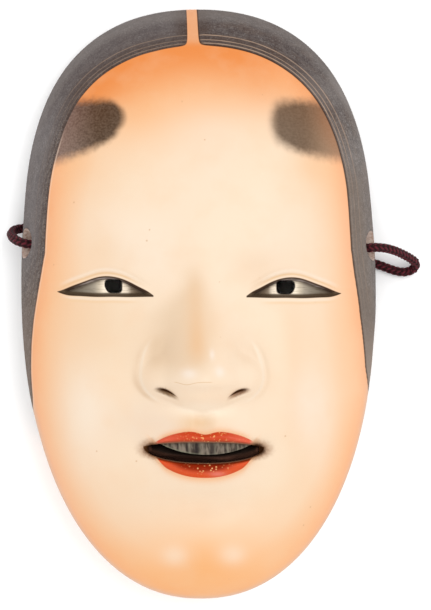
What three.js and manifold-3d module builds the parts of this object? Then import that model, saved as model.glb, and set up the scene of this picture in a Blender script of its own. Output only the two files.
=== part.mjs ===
// A carved and painted wooden mask of a young woman, of the kind worn on the Japanese stage.
// It lies on its back rim with the face up. Millimetres: +X is the viewer's right, +Y runs to
// the crown and +Z out of the face. The origin is in the rim's plane, under the middle.
import * as THREE from 'three';
import { mergeVertices } from 'three/addons/utils/BufferGeometryUtils.js';
import Module from 'manifold-3d';

const wasm = await Module();
wasm.setup();

// Driving dimensions
const HEIGHT = 212.2;
const WIDTH = 128;
const WIDEST_Y = 4.9;
const FRONT = 56;
const WALL = 6.5;
const SKEW = THREE.MathUtils.degToRad(0.9);
const EYE_INNER = 16.3;
const EYE_LENGTH = 34;
const PUPIL = { out: 30.3, up: 5.8, wide: 6.1, tall: 4.8 };
const NOSE_TIP = 70.5;
const MOUTH_WIDTH = 42.5;
const TEETH = { middle: 0.8, wide: 33.2, deep: 4.35 };
const RIM_ARCH = 6;
const CORD_HOLE = { y: 21.1, z: 23, wide: 10.8, tall: 12.6 };
const CORD_DIAMETER = 3.2;

// Shares that follow from them
const CROWN = HEIGHT / 2 - WIDEST_Y;
const CHIN = HEIGHT / 2 + WIDEST_Y;
const EYE_X = EYE_INNER + EYE_LENGTH / 2;

const smooth = (value) => THREE.MathUtils.smoothstep(value, 0, 1);
const bell = (value) => Math.exp(-value * value);
const blend = THREE.MathUtils.lerp;
const clamp01 = (value) => THREE.MathUtils.clamp(value, 0, 1);
const softMax = (a, b, round) => (a + b + Math.hypot(a - b, round)) / 2;
const softMin = (a, b, round) => (a + b - Math.hypot(a - b, round)) / 2;

// The plain form: an egg-shaped outline with a full front and steep sides

function outlineRadius(angle) {
  const across = Math.abs(Math.cos(angle));
  const along = Math.abs(Math.sin(angle));
  const squareness = blend(2.19, 2.69, smooth(Math.sin(angle) + 0.33));
  const reach = Math.sin(angle) > 0 ? CROWN : CHIN;
  const total = (across / (WIDTH / 2)) ** squareness + (along / reach) ** squareness;
  return total ** (-1 / squareness) + outlineTouches(Math.cos(angle), Math.sin(angle));
}

// What the carver's hand adds: a rounder crown, flatter temples and a leaner jaw
function outlineTouches(side, rise) {
  const crown = 0.55 * bell(side / 0.15) - 0.75 * bell((Math.abs(side) - 0.35) / 0.19);
  const temple = -0.32 * bell((rise - 0.42) / 0.17);
  const jawFrom = side > 0 ? 0.1 : 0.5;
  const jaw = -0.38 * smooth((-rise - jawFrom) / (side > 0 ? 0.25 : 0.2));
  return crown * smooth(rise / 0.3) + temple + jaw;
}

// How far an angle points to the crown and to the chin, each from 0 to 1
function upAndDown(angle) {
  const rise = Math.sin(angle);
  return [Math.max(rise, 0) ** 2, Math.max(-rise, 0) ** 2];
}

// Height of the widest line above the rim's plane
function edgeHeight(angle) {
  const [up, down] = upAndDown(angle);
  return 16 - 7 * up + 12 * down ** 1.5;
}

function domeHeight(angle, share, top) {
  const [up, down] = upAndDown(angle);
  const fullness = 3.1 - 0.5 * up + 1.9 * down;
  const steepness = 1.55 + 0.05 * up + 0.35 * down;
  const edge = edgeHeight(angle);
  return edge + (top - edge) * Math.max(1 - share ** fullness, 0) ** (1 / steepness);
}

// The rim lifts off the ground beside the ears, where the cords pass under it
function rimHeight(y) {
  const ARCH_HALF = 34;
  return RIM_ARCH * smooth(1 - Math.abs(y - CORD_HOLE.y) / ARCH_HALF);
}

// The features stand a little askew in the outline: the brow leans left and the left eye is
// the higher one. Seen in their own straight coordinates, both halves of the face match.
function onFace(x, y) {
  const SKEW_CENTRE_Y = -7;
  return [x + Math.tan(SKEW) * (y - SKEW_CENTRE_Y), y + Math.tan(SKEW) * x];
}

function broadForms(x, y) {
  const side = Math.abs(x);
  const browHollow = -2.6 * bell((side - 31) / 15) * bell((y - 9) / 10);
  const eyeball = 2.8 * bell((side - EYE_X) / 14) * bell((y - 6) / 6.5);
  const cheek = 2 * bell((side - 32) / 15) * bell((y + 28) / 19);
  const muzzle = 3.6 * bell(x / 25) * bell((y + 50) / 14);
  const chinCrease = -2.4 * bell(x / 17) * bell((y + 69.5) / 5.5);
  const chinBoss = 3.2 * bell(x / 17) * bell((y + 87) / 10);
  const philtrum = 0.35 * bell((side - 4.2) / 1.8) - 0.8 * bell(x / 2.4);
  return browHollow + eyeball + cheek + muzzle + chinCrease + chinBoss
    + philtrum * bell((y + 41) / 4);
}

// The nose is a form of its own, blended over the face
function noseHeight(x, y) {
  const ROOT_Y = 16;
  const TIP_Y = -26;
  const side = Math.abs(x);
  const down = Math.max((ROOT_Y - y) / (ROOT_Y - TIP_Y), 0);
  const bridge = 53 + (NOSE_TIP - 53) * down ** 1.2 - 0.02 * Math.max(y - ROOT_Y, 0) ** 2;
  const underside = NOSE_TIP + 2.3 * (y - TIP_Y + 3);
  const ridge = softMin(bridge, underside, 4) - blend(0.035, 0.06, clamp01(down)) * x * x;
  const tip = NOSE_TIP - 1.5 - 6.5 * ((x / 12) ** 2 + ((y - TIP_Y) / 9) ** 2);
  const wing = 61 - 8.6 * Math.hypot((side - 13.4) / 10.4, (y - TIP_Y) / 9.8) ** 2.4;
  return softMax(softMax(ridge, wing, 2.5), tip, 2);
}

function nostrilDepth(x, y) {
  const DEEP = 3;
  const slant = THREE.MathUtils.degToRad(25);
  const out = Math.abs(x) - 12.5;
  const rise = y + 31.2;
  const along = out * Math.cos(slant) + rise * Math.sin(slant);
  const across = rise * Math.cos(slant) - out * Math.sin(slant) + 0.02 * along * along;
  return DEEP * smooth((1.2 - Math.hypot(along / 4, across / 1.3)) / 0.8);
}

// Lid lines of both eyes, drawn from the inner corner (0) to the outer one (1)
function lidLines(x) {
  const along = clamp01((Math.abs(x) - EYE_INNER) / EYE_LENGTH);
  const chord = 2.1 + 1.8 * along;
  const upper = chord + 38.5 * along ** 1.2 * (1 - along) ** 1.4;
  const lower = chord - 4.6 * along ** 1.3 * (1 - along) ** 0.7;
  return { along, upper, lower };
}

function eyeRelief(x, y) {
  const { along, upper, lower } = lidLines(x);
  const ends = smooth(along / 0.15) * smooth((1 - along) / 0.15);
  const lid = 0.7 * bell((y - upper - 0.4) / 1.4) - 0.4 * bell((y - upper - 2.4) / 0.9);
  const inside = Math.min(upper - 0.8 - y, y - lower - 0.4);
  return lid * ends - 1.4 * smooth(inside);
}

// Lines of the mouth, by the distance across it from its middle
const GAP_END = MOUTH_WIDTH / 2;
const fromTeeth = (m) => Math.abs(m - TEETH.middle) / (TEETH.wide / 2);
const mouthLines = {
  lipTop: (m) => -48.9 + 4.2 * (1 - clamp01(Math.abs(m) / 17.6) ** 2.4) ** 0.9 - 1.3 * bell(m / 3.4),
  gapTop: (m) => -48.6 - 1.8 * Math.abs(m / GAP_END) ** 3,
  teethEdge: (m) => -48.9 - TEETH.deep * (1 - clamp01(fromTeeth(m)) ** 2) ** 0.8,
  gapBottom: (m) => -50.4 - 5.75 * Math.sqrt(1 - clamp01(Math.abs(m) / GAP_END) ** 2.2),
  lipBottom: (m) => -61.3 + 7.6 * Math.abs(m / 19) ** 2.3,
};

// A lip swells between its two lines and fades to the corner
function lipSwell(y, low, high, end, swell) {
  const across = clamp01((y - low) / Math.max(high - low, 0.3));
  return swell * smooth(end / 4) * Math.sin(Math.PI * across) ** 0.8;
}

function mouthRelief(x, y) {
  const TEETH_DEPTH = 3;
  const half = Math.abs(x);
  const upper = lipSwell(y, mouthLines.gapTop(x), mouthLines.lipTop(x), 18.4 - half, 1.5);
  const lower = lipSwell(y, mouthLines.lipBottom(x), mouthLines.gapBottom(x), 20.4 - half, 2.1);
  const corner = -1.4 * bell((half - GAP_END) / 3.6) * bell((y + 50.4) / 3);
  const inGap = Math.min(mouthLines.gapTop(x) - y, y - mouthLines.gapBottom(x));
  return upper + lower + corner - TEETH_DEPTH * smooth(inGap / 0.8);
}

function faceHeight(x, y, angle, share) {
  const [u, v] = onFace(x, y);
  const plain = domeHeight(angle, share, FRONT) + broadForms(u, v);
  const blendWidth = 1.2 + 4.5 * smooth((v + 20) / 18);
  const nose = softMax(plain, noseHeight(u, v), blendWidth);
  return nose - nostrilDepth(u, v) + eyeRelief(u, v) + mouthRelief(u, v);
}

// The hollow follows the face a wall's thickness behind it, deeper behind the nose
function hollowHeight(x, y, angle, share) {
  const nosePocket = 8 * bell(x / 12) * bell((y + 20) / 15);
  const mouthPocket = 3 * bell(x / 22) * bell((y + 55) / 16);
  return domeHeight(angle, share, FRONT - WALL) + nosePocket + mouthPocket;
}

// The skin in rings, from the middle of the face over the side and the rim into the hollow
const RINGS = { edge: 11, rimOut: 13, rimIn: 14, innerEdge: 16, all: 24 };
const COLUMNS = 48;
const RIM_WIDTH = 7;

function skinPoint({ ring, angle }) {
  const { edge, rimOut, rimIn, innerEdge, all } = RINGS;
  const [up, down] = upAndDown(angle);
  const reach = outlineRadius(angle) - RIM_WIDTH * clamp01((ring - rimOut) / (rimIn - rimOut));
  const tuck = 1.4 + 6 * down + 0.4 * up;
  const outerDrop = clamp01((ring - edge) / (rimOut - edge));
  const innerDrop = clamp01((innerEdge - ring) / (innerEdge - rimIn));
  const drop = Math.min(outerDrop, innerDrop);
  const outerShare = clamp01(ring / edge);
  const innerShare = clamp01((all - ring) / (all - innerEdge));
  const share = Math.sin((Math.PI / 2) * Math.min(outerShare, innerShare));
  const radius = reach * share - tuck * drop * drop;
  const x = radius * Math.cos(angle);
  const y = WIDEST_Y + radius * Math.sin(angle);
  if (drop > 0) {
    return new THREE.Vector3(x, y, blend(edgeHeight(angle), rimHeight(y), drop));
  }
  const height = ring < rimOut ? faceHeight(x, y, angle, share) : hollowHeight(x, y, angle, share);
  return new THREE.Vector3(x, y, height);
}

// A net of faces on the skin, which starts as an even ball
function evenNet() {
  const ball = bareGeometry(new THREE.SphereGeometry(1, COLUMNS, RINGS.all).rotateX(Math.PI / 2));
  const position = ball.getAttribute('position');
  const index = Array.from(ball.index.array);
  const places = [];
  for (let i = 0; i < position.count; i += 1) {
    const ring = Math.round((Math.acos(position.getZ(i)) / Math.PI) * RINGS.all);
    places.push({ ring, angle: Math.atan2(position.getY(i), position.getX(i)) });
  }
  const faces = [];
  for (let i = 0; i < index.length; i += 3) {
    faces.push(index.slice(i, i + 3));
  }
  return { places, points: places.map(skinPoint), faces };
}

// A place part of the way between two others; a pole has no angle of its own
function placeBetween(a, b, share) {
  const isPole = ({ ring }) => ring === 0 || ring === RINGS.all;
  const ring = blend(a.ring, b.ring, share);
  if (isPole(a) || isPole(b)) {
    return { ring, angle: isPole(a) ? b.angle : a.angle };
  }
  const turn = THREE.MathUtils.euclideanModulo(b.angle - a.angle + Math.PI, 2 * Math.PI) - Math.PI;
  return { ring, angle: a.angle + turn * share };
}

// An edge is bent where the skin leaves it by more than it may
function isBent(net, [a, b]) {
  const SHORTEST = 2.8;
  const LONGEST = 16;
  const edge = new THREE.Line3(net.points[a], net.points[b]);
  const ring = Math.min(net.places[a].ring, net.places[b].ring);
  if (edge.distance() < SHORTEST) {
    return false;
  }
  const allowed = [0.18, 0.3, 0.8][(ring >= RINGS.edge) + (ring >= RINGS.rimIn)];
  const gap = (share) => {
    const point = skinPoint(placeBetween(net.places[a], net.places[b], share));
    return edge.closestPointToPoint(point, true, new THREE.Vector3()).distanceTo(point);
  };
  return edge.distance() > LONGEST || Math.max(gap(0.25), gap(0.5), gap(0.75)) > allowed;
}

// Halves the bent edges once, and the longest edge of each face they touch, so no sliver forms
function halveBentEdges(net) {
  const key = ([a, b]) => `${Math.min(a, b)} ${Math.max(a, b)}`;
  const length = ([a, b]) => net.points[a].distanceTo(net.points[b]);
  const turned = net.faces.map(([a, b, c]) => {
    const turns = [[a, b, c], [b, c, a], [c, a, b]];
    return turns.reduce((best, next) => (length(next) > length(best) + 1e-9 ? next : best));
  });
  const edges = ([a, b, c]) => [[a, b], [b, c], [c, a]];
  const cut = new Set(turned.flatMap(edges).filter((edge) => isBent(net, edge)).map(key));
  for (let before = -1; before < cut.size;) {
    before = cut.size;
    turned.filter((face) => edges(face).some((edge) => cut.has(key(edge))))
      .forEach((face) => cut.add(key(face)));
  }
  const middles = new Map();
  const middle = (edge) => {
    const name = key(edge);
    if (cut.has(name) && !middles.has(name)) {
      middles.set(name, net.places.length);
      net.places.push(placeBetween(net.places[edge[0]], net.places[edge[1]], 0.5));
      net.points.push(skinPoint(net.places.at(-1)));
    }
    return middles.get(name);
  };
  net.faces = turned.flatMap(([a, b, c]) => {
    const [ab, bc, ca] = [middle([a, b]), middle([b, c]), middle([c, a])];
    if (ab === undefined) {
      return [[a, b, c]];
    }
    const left = ca === undefined ? [[a, ab, c]] : [[a, ab, ca], [ca, ab, c]];
    const right = bc === undefined ? [[ab, b, c]] : [[ab, b, bc], [ab, bc, c]];
    return [...left, ...right];
  });
  return cut.size;
}

// Solids and geometries

function bareGeometry(geometry) {
  const bare = geometry.clone();
  bare.deleteAttribute('normal');
  bare.deleteAttribute('uv');
  return mergeVertices(bare, 1e-4);
}

function solidOf(geometry) {
  const bare = bareGeometry(geometry);
  const vertProperties = new Float32Array(bare.getAttribute('position').array);
  const triVerts = new Uint32Array(bare.index.array);
  return new wasm.Manifold(new wasm.Mesh({ numProp: 3, vertProperties, triVerts }));
}

function geometryOf(solid) {
  const { vertProperties, triVerts } = solid.getMesh();
  const geometry = new THREE.BufferGeometry();
  geometry.setAttribute('position', new THREE.BufferAttribute(vertProperties, 3));
  geometry.setIndex(new THREE.BufferAttribute(triVerts, 1));
  geometry.computeVertexNormals();
  return geometry;
}

function blankMask() {
  const net = evenNet();
  const PASSES = 12;
  for (let pass = 0; pass < PASSES && halveBentEdges(net) > 0; pass += 1);
  const geometry = new THREE.BufferGeometry().setFromPoints(net.points);
  geometry.setIndex(net.faces.flat());
  return solidOf(geometry);
}

// What is cut through the wall

// A straight prism through the front, drawn in the face's own coordinates
function throughFront(outline) {
  const FROM_Z = 30;
  const DEPTH = 45;
  const prism = new THREE.ExtrudeGeometry(outline, {
    depth: DEPTH, bevelEnabled: false, curveSegments: 3,
  });
  return prism.translate(0, 0, FROM_Z);
}

// The pupil is a squarish hole, a little narrower below, that widens to the back
function pupilCut(side) {
  const { out, up, wide, tall } = PUPIL;
  const half = wide / 2;
  const outline = new THREE.Shape();
  outline.moveTo(-half * 0.6, -tall / 2);
  outline.quadraticCurveTo(-half, -tall / 2, -half, tall * 0.15);
  outline.quadraticCurveTo(-half, tall / 2, -half * 0.7, tall / 2);
  outline.lineTo(half * 0.7, tall / 2);
  outline.quadraticCurveTo(half, tall / 2, half, tall * 0.15);
  outline.quadraticCurveTo(half, -tall / 2, half * 0.6, -tall / 2);
  const FLARE = 0.03;
  const EYEBALL_Z = 52;
  const prism = throughFront(outline);
  const [lean, tilt] = onFace(side * out, up);
  const position = prism.getAttribute('position');
  for (let i = 0; i < position.count; i += 1) {
    const scale = Math.max(1 + FLARE * (EYEBALL_Z - position.getZ(i)), 0.4);
    position.setXY(i, position.getX(i) * scale, position.getY(i) * scale);
  }
  return solidOf(prism.translate(2 * side * out - lean, 2 * up - tilt, 0));
}

// The gap below the teeth and out to both corners
function mouthCut() {
  const STEPS = 16;
  const INSET = 0.2;
  const across = (step) => GAP_END * 0.97 * (2 * (step / STEPS) - 1);
  const steps = Array.from({ length: STEPS + 1 }, (unused, step) => step);
  const top = (m) => {
    const edge = fromTeeth(m) < 1 ? mouthLines.teethEdge(m) : mouthLines.gapTop(m);
    return Math.min(edge, mouthLines.gapTop(m) - INSET);
  };
  const upper = steps.map((step) => new THREE.Vector2(across(step), top(across(step))));
  const lower = steps.map((step) => new THREE.Vector2(
    across(step), mouthLines.gapBottom(across(step)) + INSET,
  ));
  const prism = throughFront(new THREE.Shape([...lower, ...upper.reverse()]));
  const position = prism.getAttribute('position');
  for (let i = 0; i < position.count; i += 1) {
    const [u, v] = [position.getX(i), position.getY(i)];
    const [lean, tilt] = onFace(u, v);
    position.setXY(i, 2 * u - lean, 2 * v - tilt);
  }
  return solidOf(prism);
}

function cordHoleCut(side) {
  const LENGTH = 24;
  const { y, z, wide, tall } = CORD_HOLE;
  const bore = new THREE.CylinderGeometry(wide / 2, wide / 2, LENGTH, 20);
  bore.rotateZ(Math.PI / 2).scale(1, 1, tall / wide);
  bore.translate(side * (WIDTH / 2 - 4), y - side * (WIDTH / 2) * Math.tan(SKEW), z);
  return solidOf(bore);
}

function maskMesh() {
  let solid = blankMask();
  for (const side of [-1, 1]) {
    solid = solid.subtract(pupilCut(side)).subtract(cordHoleCut(side));
  }
  solid = solid.subtract(mouthCut());
  const painted = new THREE.MeshStandardMaterial({ color: 0xf0d9bd, roughness: 0.5, metalness: 0 });
  const mesh = new THREE.Mesh(geometryOf(solid), painted);
  mesh.name = 'mask';
  return mesh;
}

// The cords: each leaves by its hole, bends round, goes back under the rim and is knotted inside

const RIGHT_ROUTE = [
  [48, 17.8, 12.6], [50.2, 18.7, 17.2], [54.6, 19.2, 20.4], [60, 19.3, 21.2], [64.2, 19.5, 20.2],
  [68.2, 19.1, 17.6], [72, 18, 14], [75, 16.7, 10.5], [77.3, 15.5, 7.7], [78.9, 14.4, 5.4],
  [79.3, 13, 3.6], [78.4, 11.6, 2.4], [76.3, 10.8, 1.9], [73.8, 10.8, 1.8], [70.8, 11.6, 1.8],
  [67.6, 12.8, 1.8], [64, 14.1, 1.8], [60, 15.1, 1.8], [56, 15.7, 2.1], [52.4, 16, 3.6],
  [49.8, 16.3, 6], [48.5, 16.8, 8.8],
];
const LEFT_ROUTE = [
  [-48, 23.5, 12.6], [-50.4, 22.7, 17], [-55, 21.9, 20], [-60.4, 21.8, 20.9], [-64, 22.6, 19.6],
  [-66.1, 23.7, 16.8], [-67.3, 24.8, 13], [-67.6, 25.8, 9.3], [-67.1, 26.8, 6.1],
  [-65.8, 27.5, 3.8], [-63.6, 27.9, 2.3], [-60.6, 27.9, 1.8], [-57, 27.5, 1.9],
  [-53.4, 26.8, 2.9], [-50.4, 25.8, 5.2], [-48.7, 24.7, 8.4],
];

function cordMesh(name, route) {
  const STEP = 2.4;
  const SIDES = 8;
  const KNOT_RADIUS = 3.4;
  const curve = new THREE.CatmullRomCurve3(route.map((point) => new THREE.Vector3(...point)));
  const section = new THREE.Shape().absarc(0, 0, CORD_DIAMETER / 2, 0, 2 * Math.PI);
  const tube = new THREE.ExtrudeGeometry(section, {
    steps: Math.round(curve.getLength() / STEP),
    curveSegments: SIDES / 2,
    extrudePath: curve,
  });
  const knot = new THREE.SphereGeometry(KNOT_RADIUS, 10, 7).translate(...route[0]);
  const braid = new THREE.MeshStandardMaterial({ color: 0x4a2130, roughness: 0.85, metalness: 0 });
  const mesh = new THREE.Mesh(geometryOf(solidOf(tube).add(solidOf(knot))), braid);
  mesh.name = name;
  return mesh;
}

const japaneseMask = new THREE.Group();
japaneseMask.add(maskMesh());
japaneseMask.add(cordMesh('right_cord', RIGHT_ROUTE));
japaneseMask.add(cordMesh('left_cord', LEFT_ROUTE));

export default japaneseMask;
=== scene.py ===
# A carved and painted wooden mask of a young woman, of the kind worn on the Japanese stage. It
# lies face up on its back rim, with a short braided cord looped through each side hole.
# Forms are drawn in millimetres: x to the viewer's right, y to the crown, z out of the face.
import math

import bmesh
import bpy
import numpy as np
from mathutils import Matrix, Vector
from mathutils.kdtree import KDTree


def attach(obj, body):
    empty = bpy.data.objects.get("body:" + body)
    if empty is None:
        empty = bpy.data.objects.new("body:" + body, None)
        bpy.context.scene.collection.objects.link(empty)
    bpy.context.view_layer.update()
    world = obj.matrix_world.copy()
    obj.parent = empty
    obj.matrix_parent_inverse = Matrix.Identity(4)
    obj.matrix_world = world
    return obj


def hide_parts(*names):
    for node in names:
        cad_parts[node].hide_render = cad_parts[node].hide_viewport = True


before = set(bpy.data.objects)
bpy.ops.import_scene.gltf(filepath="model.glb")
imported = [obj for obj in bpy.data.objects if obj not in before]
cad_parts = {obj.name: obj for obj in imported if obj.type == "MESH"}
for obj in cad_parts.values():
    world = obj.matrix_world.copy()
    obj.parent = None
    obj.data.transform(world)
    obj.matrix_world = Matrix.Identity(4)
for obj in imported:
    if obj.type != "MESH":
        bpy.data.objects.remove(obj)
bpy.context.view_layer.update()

MM = 0.001

# How bright the lit scene shows a white surface, and what a satin surface mirrors of the room
LIT = 1.54
MIRRORED = 0.008
DARKEST = 0.001


def tone(colour):
    """A paint's colour from the 8-bit levels that it should show in the scene's light.

    A wire, or a colour that has its alpha already, stays as it is.
    """
    if isinstance(colour, Wire) or len(colour) == 4:
        return colour
    linear = []
    for level in colour:
        level = level / 255
        level = level / 12.92 if level <= 0.04045 else ((level + 0.055) / 1.055) ** 2.4
        linear.append(max(level - MIRRORED, DARKEST) / LIT)
    return (*linear, 1.0)


class Wire:
    """A number, colour or vector on its way through a finish's nodes."""

    def __init__(self, finish, socket):
        self.finish = finish
        self.socket = socket

    def math(self, operation, *values):
        inputs = dict(enumerate(values))
        return self.finish.node("ShaderNodeMath", {"operation": operation}, inputs)

    def __add__(self, other):
        return self.math("ADD", self, other)

    def __radd__(self, other):
        return self.math("ADD", other, self)

    def __sub__(self, other):
        return self.math("SUBTRACT", self, other)

    def __rsub__(self, other):
        return self.math("SUBTRACT", other, self)

    def __mul__(self, other):
        return self.math("MULTIPLY", self, other)

    def __rmul__(self, other):
        return self.math("MULTIPLY", other, self)

    def __truediv__(self, other):
        return self.math("DIVIDE", self, other)

    def __pow__(self, power):
        return self.math("POWER", self, power)

    def __neg__(self):
        return self.math("MULTIPLY", self, -1)

    def __abs__(self):
        return self.math("ABSOLUTE", self)

    def coat(self, above, cover):
        """This colour with another laid over it where cover is 1."""
        return self.finish.over(self, above, cover)


class Finish:
    """A material, with the nodes that vary it."""

    def __init__(self, name, **constants):
        self.material = bpy.data.materials.new(name)
        self.material.use_nodes = True
        self.tree = self.material.node_tree
        self.shader = self.tree.nodes["Principled BSDF"]
        for socket, value in constants.items():
            self.shader.inputs[socket.replace("_", " ")].default_value = value
        place = self.node("ShaderNodeTexCoord", {}, {}, "Object")
        self.place = self.vector("MULTIPLY", place, (1 / MM, 1 / MM, 1 / MM))
        self.x, self.y, self.z = (self.split(self.place, axis) for axis in "XYZ")

    def node(self, kind, settings, inputs, output=0):
        node = self.tree.nodes.new(kind)
        for name, value in settings.items():
            if name == "stops":
                self.set_stops(node.color_ramp, value)
            else:
                setattr(node, name, value)
        for name, value in inputs.items():
            if isinstance(value, Wire):
                self.tree.links.new(value.socket, node.inputs[name])
            else:
                node.inputs[name].default_value = value
        return Wire(self, node.outputs[output])

    def set_stops(self, ramp, stops):
        while len(ramp.elements) < len(stops):
            ramp.elements.new(1)
        for element, (position, colour) in zip(ramp.elements, stops):
            element.position = position
            element.color = colour

    def split(self, vector, axis):
        return self.node("ShaderNodeSeparateXYZ", {}, {0: vector}, axis)

    def redness(self, colour):
        return self.node("ShaderNodeSeparateColor", {}, {0: colour}, 0)

    def joined(self, x, y, z):
        return self.node("ShaderNodeCombineXYZ", {}, {0: x, 1: y, 2: z})

    def vector(self, operation, a, b):
        return self.node("ShaderNodeVectorMath", {"operation": operation}, {0: a, 1: b})

    def attribute(self, name):
        return self.node("ShaderNodeAttribute", {"attribute_name": name}, {}, "Fac")

    def over(self, below, above, cover):
        """The colour above laid over the one below where cover is 1."""
        settings = {"data_type": "RGBA", "clamp_factor": True}
        inputs = {0: cover, 6: tone(below), 7: tone(above)}
        return self.node("ShaderNodeMix", settings, inputs, 2)

    def noise(self, scale, detail=2.0, place=None, roughness=0.5):
        """Cloudy variation from 0 to 1, scale cycles to a millimetre."""
        inputs = {"Vector": place or self.place, "Scale": scale, "Detail": detail}
        return self.node("ShaderNodeTexNoise", {}, {**inputs, "Roughness": roughness})

    def cells(self, scale):
        """Distance to the nearest of scattered dots, in their own spacing."""
        return self.node("ShaderNodeTexVoronoi", {}, {"Vector": self.place, "Scale": scale})

    def strokes(self, u, v, across, up):
        """Brush strokes or grain from 0 to 1, in cycles to a millimetre each way."""
        return self.noise(1.0, 3, self.joined(u * across, v * up, 0))

    def stretched(self, x, y, z):
        return self.vector("MULTIPLY", self.place, (x, y, z))

    def ramp(self, value, stops):
        """Tones by value, from a list of (value, tone) over the range that it covers."""
        low, high = stops[0][0], stops[-1][0]
        spaced = [((at - low) / (high - low), tone(colour)) for at, colour in stops]
        share = (value - low) / (high - low)
        return self.node("ShaderNodeValToRGB", {"stops": spaced}, {0: share})

    def feed(self, socket, wire):
        self.tree.links.new(wire.socket, self.shader.inputs[socket])

    def bump(self, height, distance, strength):
        inputs = {"Strength": strength, "Distance": distance * MM, "Height": height}
        self.feed("Normal", self.node("ShaderNodeBump", {}, inputs))


# These take numbers, arrays and wires alike


def clamp01(value):
    if isinstance(value, Wire):
        return value.finish.node("ShaderNodeClamp", {}, {0: value})
    return np.clip(value, 0, 1)


def smooth(value):
    """0 below 0, 1 above 1 and a soft step between."""
    if isinstance(value, Wire):
        settings = {"interpolation_type": "SMOOTHSTEP"}
        return value.finish.node("ShaderNodeMapRange", settings, {0: value})
    value = np.clip(value, 0, 1)
    return value * value * (3 - 2 * value)


def bell(value):
    square = -(value * value)
    return square.math("EXPONENT", square) if isinstance(value, Wire) else np.exp(square)


def larger(a, b):
    if isinstance(a, Wire):
        return a.math("MAXIMUM", a, b)
    return b.math("MAXIMUM", a, b) if isinstance(b, Wire) else np.maximum(a, b)


def smaller(a, b):
    if isinstance(a, Wire):
        return a.math("MINIMUM", a, b)
    return b.math("MINIMUM", a, b) if isinstance(b, Wire) else np.minimum(a, b)


def rising(value, start, width):
    """0 up to the start, then rising softly to 1 over the width."""
    return smooth((value - start) / width)


def falling(value, end, width):
    """0 from the end on, and softly up to 1 over the width before it."""
    return smooth((end - value) / width)


def hump(value, middle, width):
    """1 at the middle, falling softly to 0 on both sides."""
    return bell((value - middle) / width)


def length_of(a, b):
    return (a * a + b * b) ** 0.5


def soft_max(a, b, softness):
    return (a + b + length_of(a - b, softness)) / 2


def soft_min(a, b, softness):
    return (a + b - length_of(a - b, softness)) / 2


def blend(a, b, share):
    return a + (b - a) * share


# How wide the edge of a painted line is
PAINT_EDGE = 0.3


def past(distance, edge=PAINT_EDGE):
    """1 past a line and 0 before it, fading over the edge's width."""
    return smooth(distance / edge + 0.5)


def between(value, low, high, edge):
    """1 between two lines that fade over the edge's width."""
    return past(value - low, edge) * past(high - value, edge)


def spot(u, v, middle_u, middle_v, wide, tall):
    """1 in the middle of an oval spot, falling softly to 0."""
    return hump(u, middle_u, wide) * hump(v, middle_v, tall)


def stroke(value, width):
    """1 in the middle of a brush line and 0 from half its width away."""
    return smooth(1.5 - abs(value) / (width / 2) * 1.5)


# The mask's sizes

HEIGHT = 212.2
WIDTH = 128.0
WIDEST_Y = 4.9
CROWN_SQUARENESS = 2.69
CHIN_SQUARENESS = 2.19
FRONT = 56.0
# How high the edge of the face stands over the floor
SIDE_EDGE = 16
CROWN_EDGE = 9
CHIN_EDGE = 28
WALL = 6.5
# The features' slant, and the height at which their middle line meets the outline's
SKEW = math.tan(math.radians(0.9))
SKEW_Y = -7
EYE_INNER = 16.3
EYE_LENGTH = 34.0
PUPIL = {"out": 30.3, "up": 5.8, "wide": 6.0, "tall": 4.75}
NOSE_ROOT = 53
NOSE_TIP = 70.5
NOSE_TOP_Y = 16
NOSE_TIP_Y = -26
NOSTRIL = {"out": 12.5, "up": -31.4, "slant": 22}
WING = {"out": 21.5, "up": -25.6, "over": 22, "under": 12.8}
BROW_Y = 65.8
LIP_TOP_Y = -48.9
GAP_TOP_Y = -48.6
CORNER_Y = -50.4
LIP_BOTTOM_Y = -61.3
GAP_END = 21.25
CUT_END = 19.4
TEETH = {"middle": 0.8, "wide": 33.2, "top": -48.9, "deep": 4.35}
RIM_ARCH = 6.0
RIM_ARCH_REACH = 34
RIM_WIDTH = 7.0
CORD_HOLE = {"y": 21.1, "z": 23.0, "wide": 10.8, "tall": 12.6}
CORD_DIAMETER = 3.2
CROWN = HEIGHT / 2 - WIDEST_Y
CHIN = HEIGHT / 2 + WIDEST_Y
EYE_X = EYE_INNER + EYE_LENGTH / 2


# The mask's plain form


def outline_radius(angle):
    across = abs(np.cos(angle))
    along = abs(np.sin(angle))
    squareness = blend(CHIN_SQUARENESS, CROWN_SQUARENESS, smooth(np.sin(angle) + 0.33))
    reach = np.where(np.sin(angle) > 0, CROWN, CHIN)
    total = (across / (WIDTH / 2)) ** squareness + (along / reach) ** squareness
    return total ** (-1 / squareness) + outline_touches(np.cos(angle), np.sin(angle))


def outline_touches(side, rise):
    """What the carver's hand adds: a rounder crown, flatter temples and a leaner jaw."""
    crown = 0.55 * bell(side / 0.15) - 0.75 * hump(abs(side), 0.35, 0.19)
    temple = -0.32 * hump(rise, 0.42, 0.17)
    jaw_from = np.where(side > 0, 0.1, 0.5)
    jaw = -0.38 * rising(-rise, jaw_from, np.where(side > 0, 0.25, 0.2))
    return crown * smooth(rise / 0.3) + temple + jaw


def up_and_down(angle):
    rise = np.sin(angle)
    return np.maximum(rise, 0) ** 2, np.maximum(-rise, 0) ** 2


def edge_height(angle):
    up, down = up_and_down(angle)
    return SIDE_EDGE + (CROWN_EDGE - SIDE_EDGE) * up + (CHIN_EDGE - SIDE_EDGE) * down**1.5


def dome_height(angle, share, top):
    up, down = up_and_down(angle)
    fullness = 3.1 - 0.5 * up + 1.9 * down
    steepness = 1.55 + 0.05 * up + 0.35 * down
    edge = edge_height(angle)
    return edge + (top - edge) * np.maximum(1 - share**fullness, 0) ** (1 / steepness)


def rim_height(y):
    return RIM_ARCH * smooth(1 - abs(y - CORD_HOLE["y"]) / RIM_ARCH_REACH)


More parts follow.
